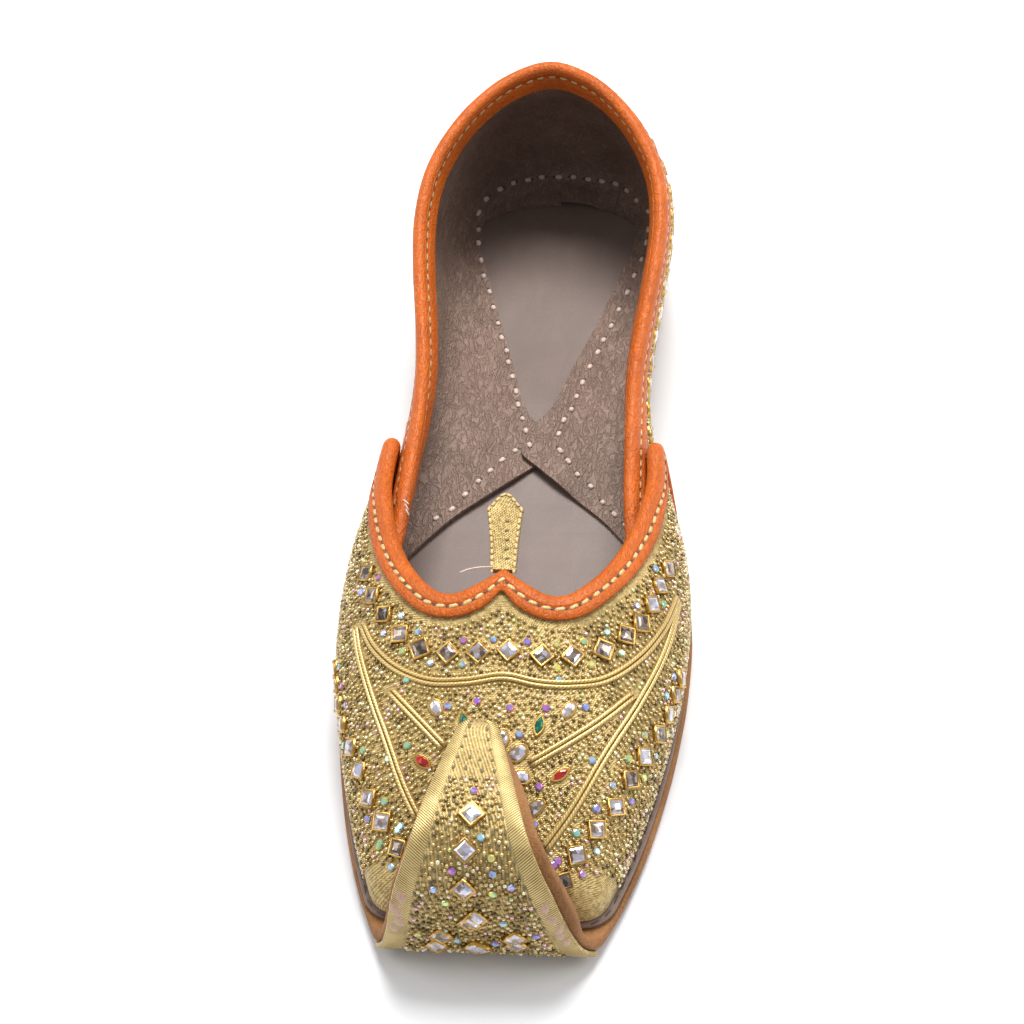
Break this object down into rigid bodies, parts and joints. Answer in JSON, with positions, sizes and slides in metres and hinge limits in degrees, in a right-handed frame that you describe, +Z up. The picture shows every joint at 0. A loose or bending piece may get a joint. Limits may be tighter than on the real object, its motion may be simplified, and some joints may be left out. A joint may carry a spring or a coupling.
{
  "type": "mojari shoe",
  "caption": "Flat slip-on leather shoe with a low open throat, a beaded gold vamp, bound edges and a leather toe that curls back over the vamp.",
  "frame": {"origin": "middle of the shoe's box in plan, on the floor under the sole", "axes": "+Z up, toe toward -Y, heel toward +Y, +X to the right when the shoe is seen from the toe"},
  "size_m": [0.0852, 0.2518, 0.0615],
  "materials": {
    "sole_leather": "matt tan to brown sole leather",
    "lining_leather": "soft matt taupe lining leather",
    "gold_cloth": "gold metallic cloth covered with beads",
    "binding_leather": "satin orange leather"
  },
  "bodies": {
    "root": {"outsole": "sole_leather", "edge_strip": "lining_leather", "upper": "gold_cloth", "insole": "lining_leather", "lining_flap_left": "lining_leather", "lining_flap_right": "lining_leather", "binding_vamp": "binding_leather", "binding_quarter": "binding_leather", "throat_tab": "gold_cloth", "curl_cover": "gold_cloth"}
  },
  "joints": []
}
